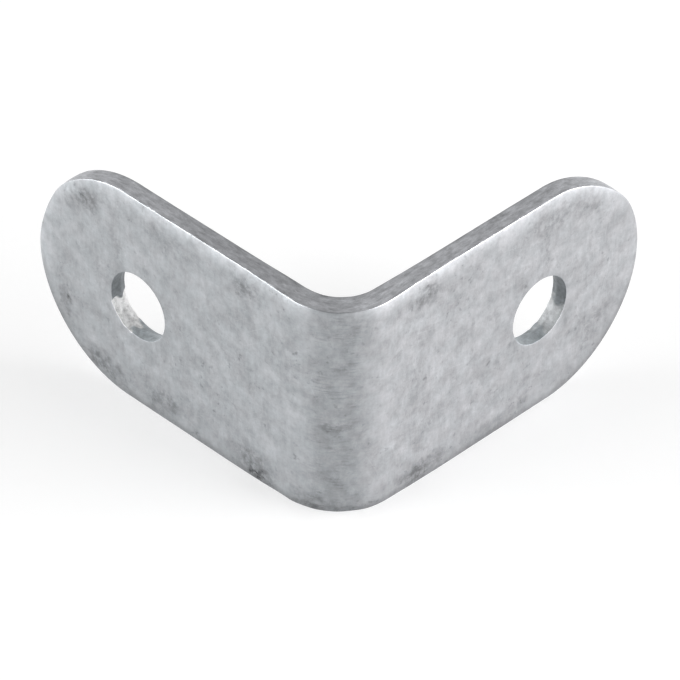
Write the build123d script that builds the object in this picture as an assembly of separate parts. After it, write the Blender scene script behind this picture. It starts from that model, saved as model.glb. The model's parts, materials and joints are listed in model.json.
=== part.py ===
from build123d import *
from math import sqrt
import os

# Corner brace bracket: one strip of steel sheet, cut with round ends, punched twice and folded once.
# Millimetres, +Z up. The fold runs along Z, one leg runs along +X and the other along +Y.
# The origin is at the bottom of the bounding box, in the middle of it.

# Overall sizes
leg_x_length = 30.0          # from the outer face of the other leg to the tip of the leg along +X
leg_y_length = 30.0          # the same for the leg along +Y
strip_width = 18.0           # the strip stands on its long edge, so this is the height
sheet_thickness = 1.5

# The fold
inside_bend_radius = 3.1
bend_thinning = 0.3          # the outside radius is larger by this than an even wall would make it

# The screw holes, one in each leg, punched from the outer face inwards
hole_diameter = 5.4
hole_setback = 1.2           # from the centre of the leg's round tip towards the fold
hole_drop = 0.3              # below the middle of the strip
hole_rim_round = 0.1         # where the punch pulled the outer face in
clean_wall_share = 0.6       # share of the thickness that the punch cut clean before the metal tore
breakout_flare = 0.25        # what the torn part of the wall gains in radius by the inner face

# The tumbled edges
outer_edge_round = 0.25      # around the outer faces, which the blanking tool rolled over
inner_edge_round = 0.1       # around the inner faces

# Worked out from the sizes above
outside_bend_radius = inside_bend_radius + sheet_thickness + bend_thinning
tip_radius = strip_width / 2
middle_height = strip_width / 2
hole_height = middle_height - hole_drop
hole_from_tip = tip_radius + hole_setback
clean_wall_depth = clean_wall_share * sheet_thickness
outer_x = -leg_x_length / 2  # the outer face of the leg along +Y
outer_y = -leg_y_length / 2  # the outer face of the leg along +X
inner_x = outer_x + sheet_thickness
inner_y = outer_y + sheet_thickness
tip_x = outer_x + leg_x_length
tip_y = outer_y + leg_y_length


def fold_profile():
    """The strip seen along the fold: an L whose corner is rounded inside and outside."""
    corners = [
        (outer_x, outer_y),
        (tip_x, outer_y),
        (tip_x, inner_y),
        (inner_x, inner_y),
        (inner_x, tip_y),
        (outer_x, tip_y),
    ]
    profile = make_face(Polyline(*corners, close=True))
    inside_corner = profile.vertices().sort_by_distance((inner_x, inner_y, 0))[0]
    profile = fillet(inside_corner, inside_bend_radius)
    outside_corner = profile.vertices().sort_by_distance((outer_x, outer_y, 0))[0]
    return fillet(outside_corner, outside_bend_radius)


def round_ended_bar(side_plane, tip, leg_length):
    """A deep bar with the leg's outline from the side: round at the tip, and on past the fold."""
    bar_length = leg_length + strip_width
    outline = Pos(tip - bar_length / 2, middle_height) * SlotOverall(bar_length, strip_width)
    return extrude(side_plane * outline, leg_x_length + leg_y_length, both=True)


def rim_edges(strip, face_x, face_y, bend_radius):
    """The edges around one side of the strip: all of that side's edges but the fold's tangent lines."""
    side_of_leg_x = strip.faces().filter_by(Plane.XZ).filter_by_position(Axis.Y, face_y, face_y)
    side_of_leg_y = strip.faces().filter_by(Plane.YZ).filter_by_position(Axis.X, face_x, face_x)
    bend_inset = bend_radius * (1 - sqrt(0.5))
    bend_middle = Vector(face_x + bend_inset, face_y + bend_inset, middle_height)
    side_of_bend = strip.faces().sort_by_distance(bend_middle)[:1]
    return (side_of_leg_x + side_of_leg_y + side_of_bend).edges().filter_by(Axis.Z, reverse=True)


def hole_cutter():
    """One hole along +Z, from the outer face inwards: a clean wall and then a torn one that flares."""
    radius = hole_diameter / 2
    flare_depth = sheet_thickness - clean_wall_depth
    from_its_base = (Align.CENTER, Align.CENTER, Align.MIN)
    clean_wall = Cylinder(radius, clean_wall_depth, align=from_its_base)
    torn_wall = Cone(radius, radius + breakout_flare, flare_depth, align=from_its_base)
    return clean_wall + Pos(0, 0, clean_wall_depth) * torn_wall


def punch(strip, place):
    """Cut one hole at a place on the outer face, and round its rim there."""
    strip -= place * hole_cutter()
    circles = strip.edges().filter_by(GeomType.CIRCLE)
    rim = circles.filter_by(lambda edge: (edge.arc_center - place.position).length < 0.001)
    return fillet(rim, hole_rim_round)


def bracket():
    """The whole bracket: the L, its round tips, its tumbled edges and then its holes."""
    strip = extrude(fold_profile(), strip_width)
    strip &= round_ended_bar(Plane.XZ, tip_x, leg_x_length)
    strip &= round_ended_bar(Plane.YZ, tip_y, leg_y_length)
    strip = fillet(rim_edges(strip, outer_x, outer_y, outside_bend_radius), outer_edge_round)
    strip = fillet(rim_edges(strip, inner_x, inner_y, inside_bend_radius), inner_edge_round)
    strip = punch(strip, Pos(tip_x - hole_from_tip, outer_y, hole_height) * Rot(-90, 0, 0))
    return punch(strip, Pos(outer_x, tip_y - hole_from_tip, hole_height) * Rot(0, 90, 0))


os.makedirs("parts", exist_ok=True)
export_step(bracket(), "parts/bracket.step")
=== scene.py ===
# %% [markdown]
# # A corner brace, folded from one strip of steel
#
# A corner brace is a strip of sheet steel with round ends and two screw holes, folded once into a right
# angle. In the workshop it is made flat first: a press blanks the strip and punches the holes, a die
# folds it, and a drum of abrasive stones tumbles the burrs away. This file makes it in the same order, so
# that the flat blank's own coordinates are there when the finish is painted, and scratches and smudges
# follow the sheet round the fold.
#
# The frame comes first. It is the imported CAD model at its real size, and it tells where the piece goes.

# %% Load the frame
import json
import math

import bmesh
import bpy
from mathutils import Matrix, Vector, noise


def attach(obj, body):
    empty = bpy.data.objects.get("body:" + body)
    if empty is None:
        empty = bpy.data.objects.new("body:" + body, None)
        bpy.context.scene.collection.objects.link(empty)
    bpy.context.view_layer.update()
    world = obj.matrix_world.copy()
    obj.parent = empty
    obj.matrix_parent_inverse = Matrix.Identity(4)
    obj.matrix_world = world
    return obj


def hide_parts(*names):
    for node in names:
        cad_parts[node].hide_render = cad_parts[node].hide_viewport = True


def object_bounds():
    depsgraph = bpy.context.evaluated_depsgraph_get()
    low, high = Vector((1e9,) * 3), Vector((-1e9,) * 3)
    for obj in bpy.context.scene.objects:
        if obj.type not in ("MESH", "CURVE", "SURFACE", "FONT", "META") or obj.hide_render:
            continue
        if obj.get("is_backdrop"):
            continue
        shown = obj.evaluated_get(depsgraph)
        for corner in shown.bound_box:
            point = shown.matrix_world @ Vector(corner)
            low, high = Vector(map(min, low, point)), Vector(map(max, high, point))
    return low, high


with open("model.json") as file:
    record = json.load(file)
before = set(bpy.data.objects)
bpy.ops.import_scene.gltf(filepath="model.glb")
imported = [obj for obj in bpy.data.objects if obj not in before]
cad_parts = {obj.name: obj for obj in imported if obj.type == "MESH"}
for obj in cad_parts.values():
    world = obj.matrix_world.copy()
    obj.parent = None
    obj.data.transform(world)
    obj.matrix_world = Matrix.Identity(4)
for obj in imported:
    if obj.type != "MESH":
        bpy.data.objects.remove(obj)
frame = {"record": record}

cad_low, cad_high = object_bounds()

# %% [markdown]
# ## Sizes
#
# Blender works in metres here, and the sheet is 1.5 mm thick, so small sizes are written as so many `MM`.
# The box and the holes are read from the frame. The sheet's thickness and the fold's radii are the CAD
# model's own.

# %% Sizes of the strip
MM = 0.001

strip_width = cad_high.z - cad_low.z
leg_length = cad_high.x - cad_low.x
outer_corner = Vector((cad_low.x, cad_low.y, cad_low.z))
hole_mount = next(mount for mount in frame["record"]["mounts"] if mount["name"] == "hole_x")
hole_radius = hole_mount["dims"]["r_mm"] * MM
hole_along_leg = hole_mount["pos_m"][0] - outer_corner.x
hole_height = hole_mount["pos_m"][2] - outer_corner.z
sheet = 1.5 * MM
inside_bend = 3.1 * MM
outside_bend = 4.9 * MM
middle = strip_width / 2
print("leg", round(leg_length / MM, 2), "mm and strip", round(strip_width / MM, 2), "mm")

# %% [markdown]
# ## The flat blank and the fold
#
# The blank has a frame of its own: X runs along the strip from the middle of the fold, Y across the
# strip, and Z down through the sheet from the outer face. `fold` takes a point of the blank to its place
# on the finished bracket. Inside the fold each depth of the sheet has its own arc, large outside and
# small inside, and the arcs' centres lie a little apart, because the metal thins where it stretches.

# %% From the blank to the bracket
quarter_turn = math.pi / 2
inner_edge_of_fold = sheet + inside_bend
fold_half = (outside_bend + inside_bend) / 2 * quarter_turn / 2 + (outside_bend - inner_edge_of_fold) / 2
blank_half = fold_half + leg_length - outside_bend
tip_centre = blank_half - middle
hole_along = fold_half + hole_along_leg - outside_bend


def fold(along, across, depth):
    """The place on the bracket of a point of the flat blank."""
    share = depth / sheet
    radius = outside_bend + (inside_bend - outside_bend) * share
    centre = outside_bend + (inner_edge_of_fold - outside_bend) * share
    arc = radius * quarter_turn / 2
    straight = outside_bend - centre
    travel = abs(along)
    if travel < fold_half:
        travel *= (arc + straight) / fold_half
    else:
        travel += arc + straight - fold_half
    leg, inwards = centre + travel - arc, depth
    if travel < arc:
        turn = quarter_turn / 2 - travel / radius
        leg, inwards = centre - radius * math.sin(turn), centre - radius * math.cos(turn)
    if along < 0:
        leg, inwards = inwards, leg
    return outer_corner + Vector((leg, inwards, across))


print("half the blank is", round(blank_half / MM, 2), "mm and half the fold takes", round(fold_half / MM, 2))

# %% [markdown]
# ## The flat of one side
#
# A round hole in a strip with a round end is awkward to divide into four-sided faces. The trick is a ring
# of faces that is a circle at the hole, and outside it a circle in front and half a square behind: the
# back half of the outer circle is pushed out to a square, so that its flat side can run on as a plain
# strip to the fold. `bridge_loops` spans the two loops, and `subdivide_edges` divides the spans. Bands
# along the edge and around the hole are left open here, because the next step sweeps them.

# %% A flat with a hole and a round end
points_around = 192            # around a hole, so that a quarter of them face the fold
rings_around_hole = 12
rows_to_fold = 60
edge_band = 1.9 * MM           # the flat stops this far inside the strip's edge
rim_band = 0.6 * MM            # and this far outside the hole's wall
flat_reach = middle - edge_band
flat_back = tip_centre - flat_reach
hair = 0.002 * MM              # two places nearer than this are one


def ring_of(bm, centre, radius):
    """A circle of vertices, flat on the outer face."""
    place = Matrix.Translation(centre)
    return bmesh.ops.create_circle(bm, segments=points_around, radius=radius, matrix=place)["verts"]


def flat_of_one_leg(bm):
    """The flat of one leg's outer side, from its round tip to the middle of the fold."""
    around_hole = ring_of(bm, Vector((hole_along, hole_height, 0)), hole_radius + rim_band)
    tip = Vector((tip_centre, middle, 0))
    around_tip = ring_of(bm, tip, flat_reach)
    for vert in around_tip:
        out = vert.co - tip
        if out.x < 0:
            vert.co = tip + out * flat_reach / max(abs(out.x), abs(out.y))
    loops = list({edge for vert in around_hole + around_tip for edge in vert.link_edges})
    spokes = [edge for edge in bmesh.ops.bridge_loops(bm, edges=loops)["edges"] if edge not in loops]
    bmesh.ops.subdivide_edges(bm, edges=spokes, cuts=rings_around_hole, use_grid_fill=True)
    back = [edge for edge in bm.edges if all(abs(vert.co.x - flat_back) < hair for vert in edge.verts)]
    grown = bmesh.ops.extrude_edge_only(bm, edges=back)["geom"]
    far_row = {part for part in grown if isinstance(part, bmesh.types.BMVert)}
    bmesh.ops.translate(bm, verts=list(far_row), vec=(-flat_back, 0, 0))
    lengthwise = [edge for edge in bm.edges if (edge.verts[0] in far_row) != (edge.verts[1] in far_row)]
    bmesh.ops.subdivide_edges(bm, edges=lengthwise, cuts=rows_to_fold, use_grid_fill=True)


blank = bmesh.new()
flat_of_one_leg(blank)
print("the flat of one leg has", len(blank.faces), "faces")

# %% [markdown]
# ## The edge and the hole, swept from their profiles
#
# A sheared edge has a form of its own. The press first drags the face down in a soft roll, then cuts a
# wall whose outer half leans back a little, and tumbling rounds off the wall's two corners. A hole is the
# same with a twist: the punch leaves a sharp rim, cuts clean for a while, and then the metal tears away
# wider than the punch. Each profile is a short list of steps, and `extrude_edge_only` sweeps the flat's
# open edge along it, as a plasterer runs a moulding. A step holds how far it is from the wall, how deep
# it is in the sheet, and how much of it is cut metal, which the finish uses later.

# %% Profiles of the edge and of the hole
edge_roll_width = 1.8 * MM
edge_roll_depth = 0.11 * MM
edge_round = 0.04 * MM
wall_lean = 0.06 * MM          # how far the top of the wall leans back
inner_round = 0.06 * MM
inner_face_rows = (0.35 * MM, 0.8 * MM, edge_band)
rim_roll_width = 0.5 * MM
rim_roll_depth = 0.02 * MM
clean_wall = 0.9 * MM          # how deep the punch cuts before the metal tears
flare = 0.25 * MM
roll_power = 3.8               # the higher it is, the nearer to the wall the face drops
crowding = 1.4                 # above 1, the roll's steps lie closer together towards the wall
roll_steps = 8
rim_roll_steps = 5
round_steps = 6
inner_round_steps = 3
wall_steps = 8
hole_wall_steps = 16


def rolled(inset, width, depth):
    """How deep the soft roll has dragged the face down, this far from the wall."""
    return depth * max(0.0, 1 - inset / width) ** roll_power


def rolled_face(band, ends_at, width, depth, steps):
    """The profile over the roll, from the flat to where the wall or its round begins."""
    profile = []
    for step in range(1, steps + 1):
        inset = ends_at + (band - ends_at) * (1 - step / steps) ** crowding
        profile.append([inset, rolled(inset, width, depth), 0.0])
    return profile


def edge_profile():
    """Around the whole strip: the rolled outer face, the sheared wall, and the inner face."""
    round_starts = wall_lean + edge_round
    profile = rolled_face(edge_band, round_starts, edge_roll_width, edge_roll_depth, roll_steps)
    for step in range(1, round_steps + 1):
        turn = quarter_turn * step / round_steps
        inset = round_starts - edge_round * math.sin(turn)
        depth = rolled(inset, edge_roll_width, edge_roll_depth) + edge_round * (1 - math.cos(turn))
        profile.append([inset, depth, float(step == round_steps)])
    top = profile[-1][1]
    for step in range(1, wall_steps + 1):
        down = step / wall_steps
        inset = wall_lean * max(0.0, 1 - 2 * down)
        profile.append([inset, top + (sheet - inner_round - top) * down, 1.0])
    for step in range(1, inner_round_steps + 1):
        turn = quarter_turn * step / inner_round_steps
        inset = inner_round * (1 - math.cos(turn))
        depth = sheet - inner_round * (1 - math.sin(turn))
        profile.append([inset, depth, 0.0])
    return profile + [[inset, sheet, 0.0] for inset in inner_face_rows]


def hole_profile():
    """Through the sheet at a hole: the sharp rim, the clean wall, the torn wall and the inner face."""
    profile = rolled_face(rim_band, 0.0, rim_roll_width, rim_roll_depth, rim_roll_steps)
    profile[-1][2] = 1.0       # the rim itself is cut metal
    top = profile[-1][1]
    for step in range(1, hole_wall_steps + 1):
        depth = top + (sheet - top) * step / hole_wall_steps
        inset = flare * max(0.0, depth - clean_wall) / (sheet - clean_wall)
        profile.append([inset, depth, 1.0])
    return profile + [[inset, sheet, 0.0] for inset in ((flare + rim_band) / 2, rim_band)]


print(len(edge_profile()), "steps across the edge and", len(hole_profile()), "through a hole")

# %% [markdown]
# The sweep needs to know which way is out. For the strip's edge that is away from its spine, the line
# that joins the centres of the two round tips, and for a hole it is towards the hole's axis. Both sweeps
# end on the inner face, which is a copy of the flat, let down by the sheet's thickness and turned over.
# The row of edges in the middle of the fold is left out of the sweep, because the mirror joins the two
# legs there.

# %% Sweep one leg, then mirror it into the whole blank
def from_spine(point):
    """Which way the strip's own edge is, from a point of the blank."""
    return (point.xy - Vector((min(point.x, tip_centre), middle))).normalized()


def to_hole(point):
    """Which way the hole's axis is, from a point of the blank."""
    return (Vector((hole_along, hole_height)) - point.xy).normalized()


def sweep(bm, edges, out, last_inset, profile, cut):
    """Extrude open edges along a profile, whose insets are measured back from the wall."""
    for inset, depth, cut_share in profile:
        grown = bmesh.ops.extrude_edge_only(bm, edges=edges)["geom"]
        edges = [part for part in grown if isinstance(part, bmesh.types.BMEdge)]
        for vert in {vert for edge in edges for vert in edge.verts}:
            vert.co.xy += out(vert.co) * (last_inset - inset)
            vert.co.z = depth
            vert[cut] = cut_share
        last_inset = inset


def whole_blank(bm):
    """From the flat of one leg to the whole closed blank, still flat."""
    cut = bm.verts.layers.float.new("cut")
    copied = bmesh.ops.duplicate(bm, geom=bm.verts[:] + bm.edges[:] + bm.faces[:])["geom"]
    inner_side = [part for part in copied if isinstance(part, bmesh.types.BMVert)]
    turned_over = [part for part in copied if isinstance(part, bmesh.types.BMFace)]
    bmesh.ops.translate(bm, verts=inner_side, vec=(0, 0, sheet))
    bmesh.ops.reverse_faces(bm, faces=turned_over)
    open_edges = [edge for edge in bm.edges if edge.is_boundary and edge.verts[0].co.z < hair]
    open_edges = [edge for edge in open_edges if max(vert.co.x for vert in edge.verts) > hair]
    hole_axis = Vector((hole_along, hole_height))
    reach = hole_radius + 2 * rim_band
    at_hole = [edge for edge in open_edges if (edge.verts[0].co.xy - hole_axis).length < reach]
    at_edge = [edge for edge in open_edges if edge not in at_hole]
    sweep(bm, at_edge, from_spine, edge_band, edge_profile(), cut)
    sweep(bm, at_hole, to_hole, rim_band, hole_profile(), cut)
    bmesh.ops.remove_doubles(bm, verts=bm.verts[:], dist=hair)
    bmesh.ops.mirror(bm, geom=bm.verts[:] + bm.edges[:] + bm.faces[:], axis="X", merge_dist=hair)
    bmesh.ops.remove_doubles(bm, verts=bm.verts[:], dist=hair)
    bmesh.ops.recalc_face_normals(bm, faces=bm.faces[:])


whole_blank(blank)
open_count = sum(not edge.is_manifold for edge in blank.edges)
print("the blank has", len(blank.faces), "faces and", open_count, "open edges")

# %% [markdown]
# ## What the press and the tumbler left
#
# No real strip is as clean as its drawing. Where the sheet folds, the metal inside the bend is squeezed
# and swells out at the strip's edges, and the metal outside is stretched and draws in. Each round end has
# a low spot on its upper part, where the tool that cut it was worn. The faces and the cut edge waver by a
# hundredth of a millimetre or so. These are moves of single vertices, and smooth noise, which is the same
# on every run, makes them uneven.

# %% Swell and low spots
swell_reach = 9.0 * MM         # how far from the middle of the fold it fades out
swell_inside = 0.13 * MM
draw_in_outside = 0.24 * MM
swell_lumps = 0.3              # how uneven the swell is
swell_lump_size = 1.3 * MM
falloff = 3                    # the power with which a move at the strip's edge dies away inwards
LOW_SPOTS = {                  # bearing up from the leg in degrees, spread in degrees, and how low
    1: (57.0, 32.0, 0.20 * MM),     # the leg along +X
    -1: (21.0, 24.0, 0.17 * MM),    # the leg along +Y
}


def noise_at(point, size, shift=0.0):
    """Smooth noise from about -1 to 1, with bumps as wide as the size; a shift gives another pattern."""
    return noise.noise(point / size + Vector((shift, 2 * shift, 3 * shift)))


def swell(point):
    """How far the fold moves a point across the strip."""
    if abs(point.x) > swell_reach:
        return 0.0
    from_middle = (point.y - middle) / middle
    amount = swell_inside * point.z / sheet - draw_in_outside * (1 - point.z / sheet)
    lumps = 1 + swell_lumps * noise_at(point, swell_lump_size, 4.0)
    fading = math.cos(quarter_turn * point.x / swell_reach) ** 2
    return amount * lumps * fading * from_middle * abs(from_middle) ** falloff


def low_spot(mirrored, leg):
    """How far, and which way, the low spot moves a point of a leg's round end."""
    bearing, spread, depth = LOW_SPOTS[leg]
    out = mirrored.xy - Vector((tip_centre, middle))
    turn = math.degrees(math.atan2(out.y, out.x))
    share = max(0.0, 1 - ((turn - bearing) / spread) ** 2) ** 2
    move = out.normalized() * (-depth * share * (out.length / middle) ** falloff)
    return Vector((leg * move.x, move.y))


print("swell at the fold", round(swell(Vector((0, strip_width, sheet))) / MM, 3), "mm")

# %% [markdown]
# The torn metal is on one side of each hole, where the punch leaned and pulled the sheet with it. How torn a
# point is comes from its bearing around the hole's axis, with noise to fray the ends. The same value moves
# the vertices and, in a layer named `torn`, brightens the finish with torn metal and a painted highlight, so
# that form and colour can't drift apart. Two more layers tell the finish which points are a hole's wall and
# how many millimetres each point is from the strip's edge.

# %% Torn metal and waver
pulled_bearing = -44.0         # degrees up from the direction of the tip, so this is down and outwards
pulled_spread = 29.0
pulled_wander = 14.0           # by how many degrees noise frays the ends
tear_depth = 0.15 * MM
torn_lump = 0.6 * MM
fine_lump = 0.3 * MM
how_torn = {1: 0.46, -1: 1.0}  # the leg along +X, and the leg along +Y
face_waver = 0.012 * MM
face_waver_size = 4.5 * MM
edge_waver = 0.014 * MM
edge_waver_size = 0.7 * MM


def torn_share(point, from_axis):
    """How torn the metal is beside a hole, from 0 to 1."""
    leg = 1 if point.x > 0 else -1
    bearing = math.degrees(math.atan2(from_axis.y, leg * from_axis.x))
    wander = pulled_wander * noise_at(point, torn_lump, 1.0)
    share = 1 - ((bearing + wander - pulled_bearing) / pulled_spread) ** 2
    return how_torn[leg] * max(0.0, min(1.0, 2 * share))


def wear_blank(bm):
    """Move the blank's vertices as the press and the tumbler do, and note the holes and the edge."""
    cut = bm.verts.layers.float["cut"]
    hole_wall = bm.verts.layers.float.new("hole_wall")
    torn = bm.verts.layers.float.new("torn")
    from_edge = bm.verts.layers.float.new("from_edge")
    for vert in bm.verts:
        at = vert.co.copy()
        leg = 1 if at.x > 0 else -1
        mirrored = Vector((abs(at.x), at.y, 0))
        from_axis = at.xy - Vector((math.copysign(hole_along, at.x), hole_height))
        spine = Vector((min(mirrored.x, tip_centre), middle))
        vert[from_edge] = (middle - (mirrored.xy - spine).length) / MM
        vert.co.z += face_waver * noise_at(Vector((at.x, at.y, 0)), face_waver_size, 3.0)
        vert.co.y += swell(at)
        vert.co.xy += low_spot(mirrored, leg)
        if from_axis.length < hole_radius + rim_band:
            near = 1.0 if vert[cut] else 1 - max(0.0, from_axis.length - hole_radius) / rim_band
            share = torn_share(at, from_axis) * near
            ragged = 0.8 + 0.6 * noise_at(at, torn_lump, 7.0) + 0.4 * noise_at(at, fine_lump, 2.0)
            vert.co.xy += from_axis.normalized() * tear_depth * share * ragged
            vert[torn] = share * near
            vert[hole_wall] = vert[cut]
        elif vert[cut]:
            out = from_spine(mirrored)
            waver = edge_waver * noise_at(at, edge_waver_size)
            vert.co.xy += Vector((leg * out.x, out.y)) * waver


wear_blank(blank)
torn_layer = blank.verts.layers.float["torn"]
print(sum(vert[torn_layer] > 0.5 for vert in blank.verts), "vertices are on torn metal")

# %% [markdown]
# ## Fold it
#
# Each vertex keeps the place that it had on the flat blank, in millimetres, in a layer named `blank`. The
# finish reads that layer. Then every vertex goes through `fold`, and the mesh becomes the piece that
# stands for the CAD solid.

# %% Fold the blank into the bracket
sharp_from = math.radians(50)  # an edge that turns by more than this isn't shaded smooth


def folded_piece(bm):
    """The finished bracket's object, with its layers for the finish."""
    blank_place = bm.verts.layers.float_vector.new("blank")
    for vert in bm.verts:
        vert[blank_place] = vert.co / MM
        vert.co = fold(*vert.co)
    bmesh.ops.recalc_face_normals(bm, faces=bm.faces[:])
    for face in bm.faces:
        face.smooth = True
    for edge in bm.edges:
        edge.smooth = edge.calc_face_angle(0.0) < sharp_from
    mesh = bpy.data.meshes.new("folded_strip")
    bm.to_mesh(mesh)
    piece = bpy.data.objects.new("folded_strip", mesh)
    bpy.context.scene.collection.objects.link(piece)
    return piece


bracket = folded_piece(blank)
blank.free()
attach(bracket, "root")
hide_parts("bracket")
print("the bracket has", len(bracket.data.vertices), "vertices and", len(bracket.data.polygons), "faces")

# %% [markdown]
# ## Shader sums written as sums
#
# A finish is mostly arithmetic on masks. `Wire` wraps a node's output so that `1 - mask * 0.5` adds the
# Math nodes by itself, and `Nodes.make` adds any other node: its type, then its settings, then its
# inputs.

# %% Wires and nodes
class Wire:
    """A socket of a node tree. Arithmetic on it adds Math nodes."""

    def __init__(self, nodes, socket):
        self.nodes = nodes
        self.socket = socket

    def math(self, operation, first, second):
        """A Math node on two values."""
        return self.nodes.make("ShaderNodeMath", {"operation": operation}, {0: first, 1: second})

    def __add__(self, other):
        return self.math("ADD", self, other)

    def __radd__(self, other):
        return self.math("ADD", other, self)

    def __sub__(self, other):
        return self.math("SUBTRACT", self, other)

    def __rsub__(self, other):
        return self.math("SUBTRACT", other, self)

    def __mul__(self, other):
        return self.math("MULTIPLY", self, other)

    def __rmul__(self, other):
        return self.math("MULTIPLY", other, self)

    def __abs__(self):
        return self.math("ABSOLUTE", self, 0.0)

    def ease(self, low, high):
        """0 before low, 1 past high, and smooth between them; low may be above high."""
        inputs = {"Value": self, "From Min": low, "From Max": high}
        return self.nodes.make("ShaderNodeMapRange", {"interpolation_type": "SMOOTHSTEP"}, inputs)

    def output(self, name):
        """Another output of the same node."""
        return Wire(self.nodes, self.socket.node.outputs[name])


class Nodes:
    """An empty node tree, and the few ways in which this file fills one."""

    def __init__(self, tree):
        self.tree = tree
        tree.nodes.clear()

    def make(self, kind, settings=None, inputs=None, output=0):
        """Add a node, with its settings first and then its inputs, and give back one of its outputs."""
        node = self.tree.nodes.new(kind)
        for name, value in (settings or {}).items():
            setattr(node, name, value)
        for name, value in (inputs or {}).items():
            if isinstance(value, Wire):
                self.tree.links.new(value.socket, node.inputs[name])
            else:
                node.inputs[name].default_value = value
        return Wire(self, node.outputs[output]) if node.outputs else None

    def layer(self, name, output):
        """One of the mesh's own layers: output 1 is a vector and output 2 a number."""
        return self.make("ShaderNodeAttribute", {"attribute_name": name}, output=output)

    def vector(self, operation, first, second):
        """Vector maths: ADD moves a pattern, MULTIPLY squeezes it."""
        return self.make("ShaderNodeVectorMath", {"operation": operation}, {0: first, 1: second})

    def length(self, vector):
        """How long a vector is."""
        return self.make("ShaderNodeVectorMath", {"operation": "LENGTH"}, {0: vector}, output="Value")

    def turned(self, vector, degrees):
        """A vector turned in the plane of the sheet."""
        settings = {"rotation_type": "Z_AXIS"}
        inputs = {"Vector": vector, "Angle": math.radians(degrees)}
        return self.make("ShaderNodeVectorRotate", settings, inputs)

    def noise(self, vector, scale, detail=3.0, roughness=0.5):
        """Noise from 0 to 1, mostly near a half; the scale is in bumps to the millimetre."""
        inputs = {"Vector": vector, "Scale": scale, "Detail": detail, "Roughness": roughness}
        return self.make("ShaderNodeTexNoise", None, inputs)

    def mix(self, share, low, high):
        """One colour at share 0 and another at share 1."""
        return self.make("ShaderNodeMix", {"data_type": "RGBA"}, {0: share, 6: low, 7: high}, output=2)

    def shaded(self, colour, shade):
        """A colour made lighter or darker by a number."""
        settings = {"data_type": "RGBA", "blend_type": "MULTIPLY"}
        return self.make("ShaderNodeMix", settings, {0: 1.0, 6: colour, 7: shade}, output=2)


def new_material(name):
    """A material and its empty tree."""
    material = bpy.data.materials.new(name)
    material.use_nodes = True
    return material, Nodes(material.node_tree)


# %% [markdown]
# ## The steel
#
# Tumbled stainless steel is bright but not clean. Its faces carry cool and warm clouds, a fine mottle, faint
# scratches that run every way, and a few grey smudges from handling, and the leg along +X is lighter and
# warmer, which is painted light. The cut edge is duller and grainy, since the shear left it rough, and the
# fold is darkened by painted shade, with fine lines along the strip where the die slid over it. All of it is
# worked out in millimetres of the flat blank, so nothing slides or stretches at the fold.

# %% Colours of the steel
# The warm steel is lighter than the cool: besides the cool and warm clouds, it is painted light on the leg
# along +X, and the cool steel is painted shade on the leg along +Y.
COOL_AND_SHADED_STEEL = (0.402, 0.420, 0.437, 1.0)     # the faces of the leg along +Y
WARM_AND_LIT_STEEL = (0.430, 0.433, 0.449, 1.0)     # the faces of the leg along +X
CUT_STEEL = (0.545, 0.553, 0.575, 1.0)      # the sheared edge
WALL_STEEL = (0.262, 0.280, 0.292, 1.0)     # the walls of the holes
TORN_STEEL_AND_SHEEN = (0.940, 0.940, 0.940, 1.0)     # fresh metal where they are torn, made brighter still as a painted highlight

# %% [markdown]
# Tumbling leaves grey smudges, mostly along the rims, where the pieces rub on each other in the drum.
# They could be left to noise alone, but then they would lie anywhere. So each one has a place on the
# blank, and noise only frays it. A Mapping node of the TEXTURE type turns a place into the smudge's own
# coordinates, in which the smudge is a ball of radius 1, and the ball's third axis is short, so that the
# inner face stays clean of it.

# %% Smudges from handling
smudge_depth = 1.4             # in millimetres, like every length of the finish
smudge_fray = 3.2              # how far noise pushes a smudge's outline about
SMUDGES = [                    # along, across, half length, half width, turn in degrees, how dark
    (6.7, 16.3, 3.0, 1.3, -8, 0.32),
    (-7.2, 16.5, 2.4, 1.3, 10, 0.26),
    (-8.0, 14.0, 2.0, 2.4, 0, 0.12),
    (-14.2, 15.8, 3.6, 2.0, 0, 0.18),
    (-23.4, 15.2, 3.6, 1.3, 32, 0.26),
    (-20.4, 13.2, 0.9, 2.2, 10, 0.18),
    (-25.6, 5.2, 0.7, 2.2, 8, 0.22),
    (-21.6, 1.7, 3.4, 1.3, -14, 0.30),
    (-15.6, 1.8, 4.0, 1.5, 0, 0.22),
    (-6.8, 1.8, 3.6, 2.2, 0, 0.18),
    (-6.0, 0.8, 2.0, 0.9, 4, 0.28),
    (-1.6, 0.8, 2.4, 1.1, 0, 0.22),
    (6.4, 1.2, 3.0, 1.3, 6, 0.34),
    (13.6, 0.8, 4.0, 1.2, 0, 0.12),
    (19.4, 16.0, 3.0, 1.4, 0, 0.24),
    (22.8, 15.4, 2.8, 1.4, -25, 0.22),
    (18.8, 13.4, 0.4, 2.6, 0, 0.16),
    (13.2, 11.0, 1.4, 2.6, 30, 0.09),
    (23.6, 4.2, 3.4, 1.8, 30, 0.16),
    (0.0, 17.0, 2.2, 1.3, 0, 0.20),
    (-0.3, 7.6, 2.0, 0.6, 0, 0.20),
    (-0.4, 3.4, 1.4, 2.4, 0, 0.12),
]


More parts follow.
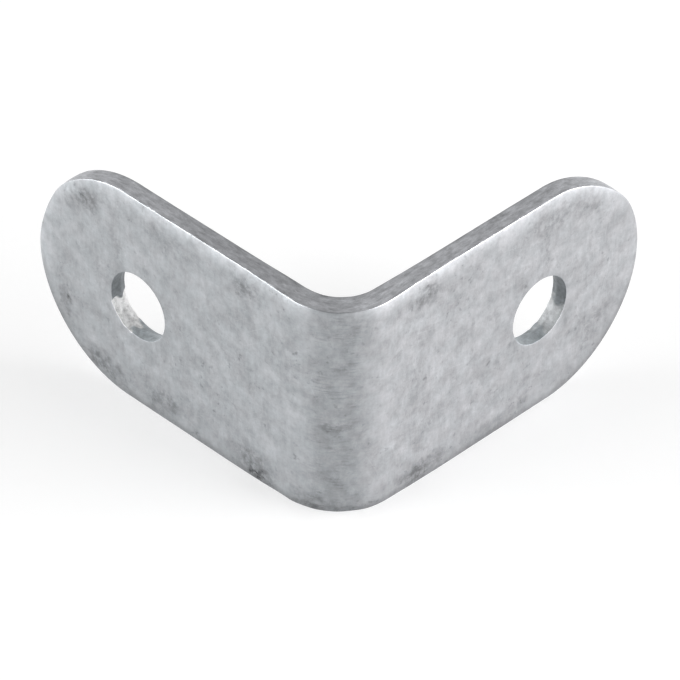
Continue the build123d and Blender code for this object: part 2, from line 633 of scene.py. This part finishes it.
def smudges(steel, place):
    """The listed smudges added up, each an ellipse on the outer face that fades out."""
    lumps = steel.noise(place, 0.9, 4.0, 0.65).output("Color")
    centred = steel.vector("SUBTRACT", lumps, (0.5, 0.5, 0.5))
    pushed = steel.vector("MULTIPLY", centred, (smudge_fray, smudge_fray, 0.0))
    ragged_place = steel.vector("ADD", place, pushed)
    total = 0.0
    for along, across, half_length, half_width, turn, darkness in SMUDGES:
        size = (half_length, half_width, smudge_depth)
        inputs = {"Vector": ragged_place, "Location": (along, across, 0), "Scale": size}
        inputs["Rotation"] = (0, 0, math.radians(turn))
        inside = steel.make("ShaderNodeMapping", {"vector_type": "TEXTURE"}, inputs)
        total = total + darkness * steel.length(inside).ease(1.05, 0.0)
    return total


print(len(SMUDGES), "smudges")

# %% [markdown]
# Lines come from noise that is squeezed much more one way than the other: fine scratches in a few
# directions, rubbed lines along the strip in the fold, and faint upright ripples beside the fold.

# %% Marks in the steel
SCRATCH_TURNS = (14.0, -38.0, 67.0, -81.0)


def scratches(steel, place):
    """Sparse fine lines that run in a few directions, from 0 to 1."""
    total = 0.0
    for turn in SCRATCH_TURNS:
        squeezed = steel.vector("MULTIPLY", steel.turned(place, turn), (0.22, 9.0, 1.0))
        total = total + steel.noise(squeezed, 1.0, 2.0).ease(0.66, 0.74)
    return total


def fold_lines(steel, place, along):
    """Fine lines along the strip in the middle of the fold, where the die rubbed, from 0 to 1."""
    in_fold = abs(along + 0.3).ease(2.0, 0.9)
    lines = steel.noise(steel.vector("MULTIPLY", place, (0.8, 6.0, 1.0)), 1.0, 5.0, 0.7)
    patches = steel.noise(steel.vector("MULTIPLY", place, (0.5, 0.6, 1.0)), 1.0, 2.0)
    return in_fold * lines.ease(0.54, 0.36) * patches.ease(0.40, 0.66)


def press_ripples(steel, place, along):
    """Faint upright ripples beside the fold, above and below 0."""
    beside = along.ease(1.8, 3.0) * along.ease(9.5, 6.0)
    ripples = steel.noise(steel.vector("MULTIPLY", place, (5.5, 0.9, 1.0)), 1.0, 3.0, 0.6)
    return beside * (ripples - 0.5)


print("scratches run in", len(SCRATCH_TURNS), "directions")

# %% [markdown]
# Now the zones are coloured one by one. The faces start from a sum of noises, coarse and fine. The marks
# above make it lighter or darker, a painted highlight lightens it along the strip's edges, and dirt takes a
# share of it away: the smudges, specks and stains all over. Painted shade darkens the faces along the lower
# rim, in the fold and on the upper part of one round end, and one leg is darker than the other by a trace of
# painted shade.

# %% Colour of the faces
def dirt_and_shade(steel, place, along, across, from_edge):
    """The share of the face's brightness that the smudges, specks and stains take away, with painted shade
    along the lower rim.
    """
    blotches = steel.noise(place, 1.9, 4.0, 0.7).ease(0.66, 0.38)
    specks = steel.noise(steel.vector("ADD", place, (2.0, 8.0, 1.0)), 1.9, 3.0, 0.6).ease(0.42, 0.27)
    stains = steel.noise(steel.vector("ADD", place, (5.0, 2.0, 7.0)), 0.30, 2.0).ease(0.44, 0.66)
    lower = across.ease(9.0, 4.0)
    # painted shade: the faces darker near the lower rim, where the bracket stands on the floor
    lower_rim_shade = lower * (0.13 * from_edge.ease(2.6, 0.6) + 0.24 * from_edge.ease(0.9, 0.2))
    dark = smudges(steel, place) * (0.40 + blotches) + lower_rim_shade
    dark = dark + 0.22 * fold_lines(steel, place, along) + (0.12 + 0.16 * stains) * specks
    return dark + 0.10 * stains * blotches


def painted_shade(along, across):
    """Painted shade: what is left of the brightness in the fold, on the leg along +Y and high on the other's
    round end.
    """
    in_fold = 1 - 0.10 * abs(along + 0.2).ease(2.4, 0.6)
    on_leg = 1 - 0.03 * along.ease(3.0, 1.0)
    on_round_end = 1 - 0.22 * along.ease(24.0, 28.0) * across.ease(9.0, 14.0)
    return in_fold * on_leg * on_round_end


def face_colour(steel, place, along, across, from_edge, mottle, streaks, grain):
    """The tumbled faces, cooler and darker on one leg and warmer and lighter on the other by painted light
    and shade.
    """
    clouds = steel.noise(place, 0.45, 3.0)
    shade = 0.18 + 0.66 * mottle + 0.38 * clouds + 0.34 * streaks + 0.24 * grain
    shade = shade + 0.20 * press_ripples(steel, place, along)
    # a painted highlight: the faces lighter within 1.8 mm of the strip's edge
    shade = shade + 0.08 * scratches(steel, place) + 0.16 * from_edge.ease(1.8, 0.0)
    shade = shade * (1 - dirt_and_shade(steel, place, along, across, from_edge)) * painted_shade(along, across)
    # the tint gives the leg along +X the lighter warm steel, as painted light
    tint = 0.4 * steel.noise(place, 0.8, 2.0).ease(0.35, 0.65) + 0.6 * along.ease(0.4, 2.4)
    return steel.shaded(steel.mix(tint, COOL_AND_SHADED_STEEL, WARM_AND_LIT_STEEL), shade)


# %% [markdown]
# The cut edge is grain all through, with painted shade along its two borders, and a little darker beside the
# fold. The walls of the holes are darker still, with painted light on their lower part, and their torn side
# shows new metal, made bright by a painted highlight. At the end the layers choose between the zones, and
# the same noises that colour the steel also press a faint relief into it with a Bump node.

# %% The tumbled steel
relief_height = 0.012 * MM


def cut_colour(steel, along, depth, cut_grain):
    """The sheared edge, with painted shade along its borders and a darker stretch at the fold."""
    middle_of_sheet = sheet / MM / 2
    from_middle = abs(depth - middle_of_sheet)
    # painted shade: the cut edge darker along its two borders, where it rounds over into the faces
    border_shade = 1 - 0.2 * from_middle.ease(middle_of_sheet - 0.22, middle_of_sheet)
    near_fold = 1 - 0.14 * along.ease(-17.0, -11.0) * along.ease(2.0, -2.0)
    return steel.shaded(CUT_STEEL, (0.05 + 1.90 * cut_grain) * border_shade * near_fold)


def wall_colour(steel, across, torn, lumps):
    """The walls of the holes, brighter low down by painted light, and brightest where they are torn, by torn
    metal and a painted highlight.
    """
    # painted light: the lower part of each hole's wall, which faces up, up to twice as bright
    punched = steel.shaded(WALL_STEEL, (0.40 + 1.2 * lumps) * (1 + across.ease(8.3, 6.2)))
    # the torn metal, partly its own colour and partly a painted highlight
    torn_and_sheen = steel.shaded(TORN_STEEL_AND_SHEEN, 0.50 + lumps)
    return steel.mix(torn.ease(0.0, 0.9), punched, torn_and_sheen)


def tumbled_steel():
    """The one finish of the bracket, with its zones told apart by the mesh's layers."""
    material, steel = new_material("tumbled_steel")
    place = steel.layer("blank", 1)
    cut = steel.layer("cut", 2)
    hole_wall = steel.layer("hole_wall", 2)
    torn = steel.layer("torn", 2)
    from_edge = steel.layer("from_edge", 2)
    along = steel.make("ShaderNodeSeparateXYZ", None, {"Vector": place})
    across = along.output("Y")
    depth = along.output("Z")

    mottle = steel.noise(steel.vector("ADD", place, (9.0, 3.0, 5.0)), 1.1, 5.0, 0.62)
    streaks = steel.noise(steel.vector("MULTIPLY", place, (2.6, 0.8, 1.0)), 1.0, 4.0, 0.6)
    grain = steel.noise(place, 6.0, 3.0, 0.6)
    cut_grain = steel.noise(steel.vector("MULTIPLY", place, (0.9, 0.9, 3.2)), 1.0, 6.0, 0.8)
    lumps = steel.noise(place, 2.6, 5.0, 0.7)

    colour = face_colour(steel, place, along, across, from_edge, mottle, streaks, grain)
    colour = steel.mix(cut, colour, cut_colour(steel, along, depth, cut_grain))
    colour = steel.mix(hole_wall, colour, wall_colour(steel, across, torn, lumps))
    roughness = 0.46 + 0.14 * (mottle - 0.5) + 0.10 * (grain - 0.5) + 0.15 * cut + 0.25 * torn
    relief = 0.30 * grain + 0.75 * mottle + 0.6 * streaks + 0.8 * cut * cut_grain + 1.5 * torn * lumps
    relief_inputs = {"Strength": 1.0, "Distance": relief_height, "Height": relief}
    bump = steel.make("ShaderNodeBump", None, relief_inputs)
    inputs = {"Base Color": colour, "Metallic": 1.0, "Roughness": roughness, "Normal": bump}
    shader = steel.make("ShaderNodeBsdfPrincipled", None, inputs)
    steel.make("ShaderNodeOutputMaterial", None, {"Surface": shader})
    return material


bracket.data.materials.append(tumbled_steel())
print("the steel has", len(bracket.data.materials[0].node_tree.nodes), "nodes")

# %% [markdown]
# ## Floor, light and camera
#
# The bracket stands on its long edge on a plain pale floor. The floor is a matt white that also gives out
# a little light to whatever looks at it, so that it comes out white while it still takes the bracket's
# shadow. Two long soft lamps stand far out left and right: they light the rolled edges and leave the fold
# quieter.

# %% The floor
floor_radius = 3.0
floor_white = (0.56, 0.56, 0.56, 1.0)          # of the light that falls on it
floor_glow = 0.50              # added for whatever looks at the floor


def white_floor():
    """A matt floor that looks white to the camera and in reflections, and still takes a shadow."""
    material, paint = new_material("white_floor")
    camera_ray = paint.make("ShaderNodeLightPath")       # its first output, Is Camera Ray
    seen = camera_ray + camera_ray.output("Is Glossy Ray") + camera_ray.output("Is Transmission Ray")
    matt = paint.make("ShaderNodeBsdfDiffuse", None, {"Color": floor_white})
    glow = paint.make("ShaderNodeEmission", None, {"Strength": seen * floor_glow})
    shader = paint.make("ShaderNodeAddShader", None, {0: matt, 1: glow})
    paint.make("ShaderNodeOutputMaterial", None, {"Surface": shader})
    return material


def floor_under(lowest):
    """A wide round floor at that height."""
    bm = bmesh.new()
    place = Matrix.Translation((0, 0, lowest))
    bmesh.ops.create_circle(bm, cap_ends=True, segments=64, radius=floor_radius, matrix=place)
    mesh = bpy.data.meshes.new("floor")
    bm.to_mesh(mesh)
    bm.free()
    floor = bpy.data.objects.new("floor", mesh)
    bpy.context.scene.collection.objects.link(floor)
    floor.data.materials.append(white_floor())
    floor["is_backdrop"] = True
    return floor


floor = floor_under(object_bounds()[0].z)
print("the floor is", round(2 * floor_radius, 1), "m wide at", round(floor.bound_box[0][2] / MM, 3), "mm")

# %% [markdown]
# Steel shows what is around it, so the room matters as much as the lamps. The world is a plain pale grey
# that dims towards the side which the fold faces. The lamps are low and wide: a face that stands upright
# mirrors the floor to the camera, its rolled upper edge mirrors what lies just above the horizon, and
# there the lamps are.

# %% The world and the lamps
aim = Vector((-6.656, -6.773, 7.740)) * MM      # what the camera looks at, between the legs
room_strength = 0.62
room_dimming = 0.36            # taken off on the side that the fold faces
darker_side = (-50, 25)        # that side's azimuth and elevation
lamp_distance = 0.5            # the lamps' sizes are in metres
lamp_width = 0.5
lamp_height = 0.22
lamp_elevation = 13


def direction(azimuth, elevation):
    """From the bracket towards a bearing: azimuth 0 is the side of -Y, and 90 the side of +X."""
    turn = math.radians(azimuth)
    rise = math.radians(elevation)
    return Vector((math.sin(turn) * math.cos(rise), -math.cos(turn) * math.cos(rise), math.sin(rise)))


def studio():
    """A pale room that is darker on the side of the fold."""
    world = bpy.data.worlds.new("studio")
    world.use_nodes = True
    air = Nodes(world.node_tree)
    towards = air.make("ShaderNodeTexCoord")
    facing = air.vector("DOT_PRODUCT", towards, direction(*darker_side)).output("Value")
    strength = room_strength - room_dimming * facing.ease(0.25, 0.85)
    shader = air.make("ShaderNodeBackground", None, {"Strength": strength})
    air.make("ShaderNodeOutputWorld", None, {"Surface": shader})
    return world


def soft_lamp(name, azimuth, watts):
    """A low rectangular soft lamp, turned towards the bracket."""
    light = bpy.data.lights.new(name, "AREA")
    light.shape = "RECTANGLE"
    light.size = lamp_width
    light.size_y = lamp_height
    light.energy = watts
    lamp = bpy.data.objects.new(name, light)
    bpy.context.scene.collection.objects.link(lamp)
    towards = direction(azimuth, lamp_elevation)
    lamp.location = aim + towards * lamp_distance
    lamp.rotation_mode = "QUATERNION"
    lamp.rotation_quaternion = towards.to_track_quat("Z", "Y")
    return lamp


bpy.context.scene.world = studio()
for lamp in (soft_lamp("lamp_right", 35, 4.3), soft_lamp("lamp_left", -127, 3.2)):
    print(lamp.name, "gives", round(lamp.data.energy, 1), "watts")

# %% [markdown]
# A long lens from well back keeps the upright lines nearly upright. The camera turns about the bracket
# first, then tips down, then rolls by a trace.

# %% The camera
camera_azimuth = -45.691
camera_elevation = 38.698
camera_roll = 0.921
camera_distance = 371.6 * MM
camera_lens = 283.4

lens = bpy.data.cameras.new("camera")
lens.lens = camera_lens
lens.clip_start = 10 * MM
camera = bpy.data.objects.new("camera", lens)
bpy.context.scene.collection.objects.link(camera)
back = direction(camera_azimuth, camera_elevation)
camera.location = aim + back * camera_distance
swung = Matrix.Rotation(math.radians(camera_azimuth), 3, "Z")
tipped = Matrix.Rotation(math.radians(90 - camera_elevation), 3, "X")
rolled_over = Matrix.Rotation(math.radians(camera_roll), 3, "Z")
camera.rotation_mode = "QUATERNION"
camera.rotation_quaternion = (swung @ tipped @ rolled_over).to_quaternion()
bpy.context.scene.camera = camera
bpy.context.scene.view_settings.view_transform = "Standard"
print("the camera is", round((camera.location - aim).length / MM, 1), "mm from its aim")
